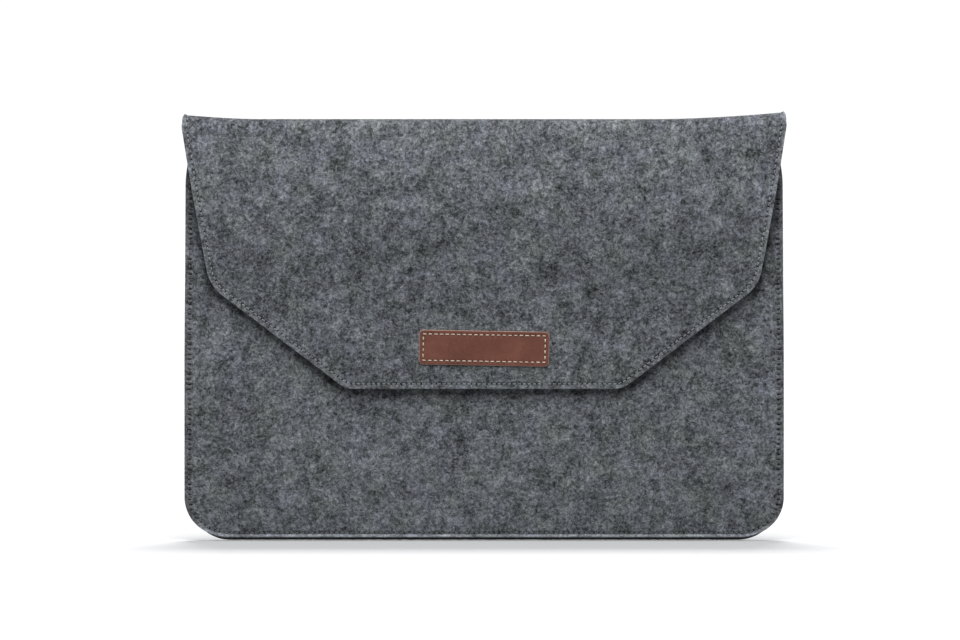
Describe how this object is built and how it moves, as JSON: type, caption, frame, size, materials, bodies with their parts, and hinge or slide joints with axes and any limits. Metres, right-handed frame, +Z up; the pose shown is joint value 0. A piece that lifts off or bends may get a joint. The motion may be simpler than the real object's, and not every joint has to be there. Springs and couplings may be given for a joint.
{
  "type": "laptop sleeve",
  "caption": "Felt envelope sleeve for a 13 inch laptop, with a lined pocket, a folding flap with a stitched leather label, and hook-and-loop patches.",
  "frame": {"origin": "middle of the bottom edge, on the seam plane where the front and back linings meet", "axes": "+X to the right as the flap is seen, along the bottom edge; +Y to the back, through the pocket's thickness; +Z up, towards the fold over the mouth"},
  "size_m": [0.3488, 0.0304, 0.2434],
  "materials": {
    "felt": "heather charcoal wool felt, matt and slightly hairy",
    "lining": "brushed dark grey knit, matt",
    "grey_thread": "charcoal polyester sewing thread",
    "black_thread": "black polyester sewing thread",
    "loop_tape": "black woven tape with a pile of soft loops",
    "hook_tape": "black woven nylon tape with stiff hooks",
    "leather": "reddish brown leather, fine grain, satin",
    "cream_thread": "cream waxed sewing thread"
  },
  "bodies": {
    "pouch": {"front_felt": "felt", "front_lining": "lining", "back_felt": "felt", "back_lining": "lining", "rear_crease_felt": "felt", "rear_crease_lining": "lining", "front_seam_thread": "grey_thread", "back_seam_thread": "grey_thread", "mouth_thread": "grey_thread", "loop_patch_left": "loop_tape", "loop_patch_right": "loop_tape", "loop_thread_left": "black_thread", "loop_thread_right": "black_thread"},
    "fold": {"fold_felt": "felt", "fold_lining": "lining", "fold_thread": "grey_thread"},
    "flap": {"flap_felt": "felt", "flap_lining": "lining", "front_crease_felt": "felt", "front_crease_lining": "lining", "flap_outer_thread": "grey_thread", "flap_inner_thread": "grey_thread", "hook_patch_left": "hook_tape", "hook_patch_right": "hook_tape", "hook_thread_left": "black_thread", "hook_thread_right": "black_thread", "leather_label": "leather", "label_stitches": "cream_thread"}
  },
  "joints": [
    {"name": "fold_turn", "type": "hinge", "parent": "pouch", "child": "fold", "pos_m": [0, 0.01005, 0.23855], "axis": [-1, 0, 0], "range_deg": [0, 90], "deforming": ["rear_crease_felt", "rear_crease_lining"]},
    {"name": "flap_turn", "type": "hinge", "parent": "fold", "child": "flap", "pos_m": [0, -0.00985, 0.23855], "axis": [-1, 0, 0], "range_deg": [0, 90], "deforming": ["front_crease_felt", "front_crease_lining"]}
  ],
  "couplings": [
    {"joint": "flap_turn", "follows": "fold_turn", "ratio": 1}
  ]
}
